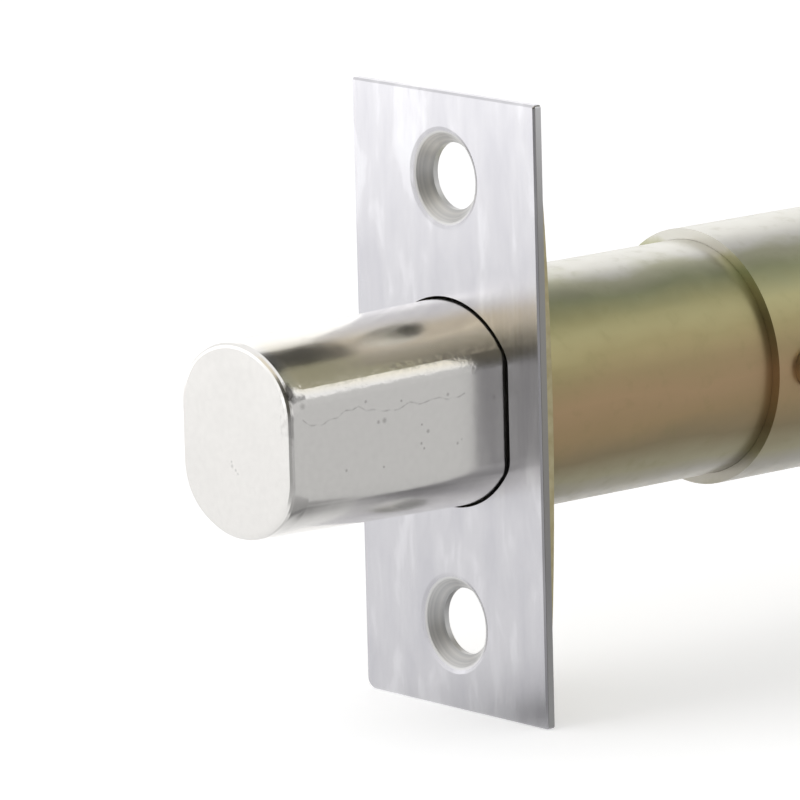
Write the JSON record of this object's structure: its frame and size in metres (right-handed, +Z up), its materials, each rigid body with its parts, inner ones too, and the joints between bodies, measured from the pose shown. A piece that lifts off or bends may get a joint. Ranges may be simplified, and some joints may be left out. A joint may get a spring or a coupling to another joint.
{
  "type": "tubular deadbolt latch",
  "caption": "Flat-sided security bolt thrown through a rectangular faceplate, with guide tube, pressed case, crank hub and drawbar behind it.",
  "frame": {"origin": "on the bolt's axis, midway between the two screws, in the plane where the back of the front plates beds in the door's edge", "axes": "-Y is the way the bolt throws, +Y runs back into the door, +Z is up along the faceplate, X is across the door"},
  "size_m": [0.0254, 0.1181, 0.0572],
  "materials": {
    "faceplate_stainless": "brushed",
    "bolt_nickel": "worn bright plating",
    "chromate_zinc": "yellow chromate on zinc",
    "bright_zinc": "zinc plated",
    "hardened_steel": "ground",
    "spring_steel": "blued strip"
  },
  "bodies": {
    "case": {"faceplate": "faceplate_stainless", "backing_plate": "bright_zinc", "front_tube": "chromate_zinc", "left_collar_rivet": "chromate_zinc", "right_collar_rivet": "chromate_zinc", "case_left": "chromate_zinc", "case_right": "chromate_zinc", "front_post_eyelet": "chromate_zinc", "rear_post_eyelet": "chromate_zinc", "front_case_rivet": "chromate_zinc", "rear_case_rivet": "chromate_zinc", "stop_pin": "chromate_zinc", "detent_spring": "spring_steel"},
    "bolt": {"bolt": "bolt_nickel", "roller_plug": "hardened_steel", "drawbar": "bright_zinc", "drawbar_pin": "hardened_steel", "drive_pin": "hardened_steel"},
    "roller": {"saw_guard_roller": "hardened_steel"},
    "crank": {"crank_claw": "bright_zinc", "crank_hub": "bright_zinc"}
  },
  "joints": [
    {"name": "bolt_slide", "type": "slide", "parent": "case", "child": "bolt", "axis": [0, 1, 0], "range_m": [0, 0.025]},
    {"name": "crank_turn", "type": "hinge", "parent": "case", "child": "crank", "pos_m": [0, 0.06825, 0], "axis": [1, 0, 0], "range_deg": [0, 105.54], "deforming": ["detent_spring"]},
    {"name": "roller_spin", "type": "hinge", "parent": "bolt", "child": "roller", "pos_m": [0, 0, 0], "axis": [0, 1, 0], "continuous": true}
  ],
  "couplings": [
    {"joint": "crank_turn", "follows": "bolt_slide", "rad_per_m": 73.674}
  ]
}
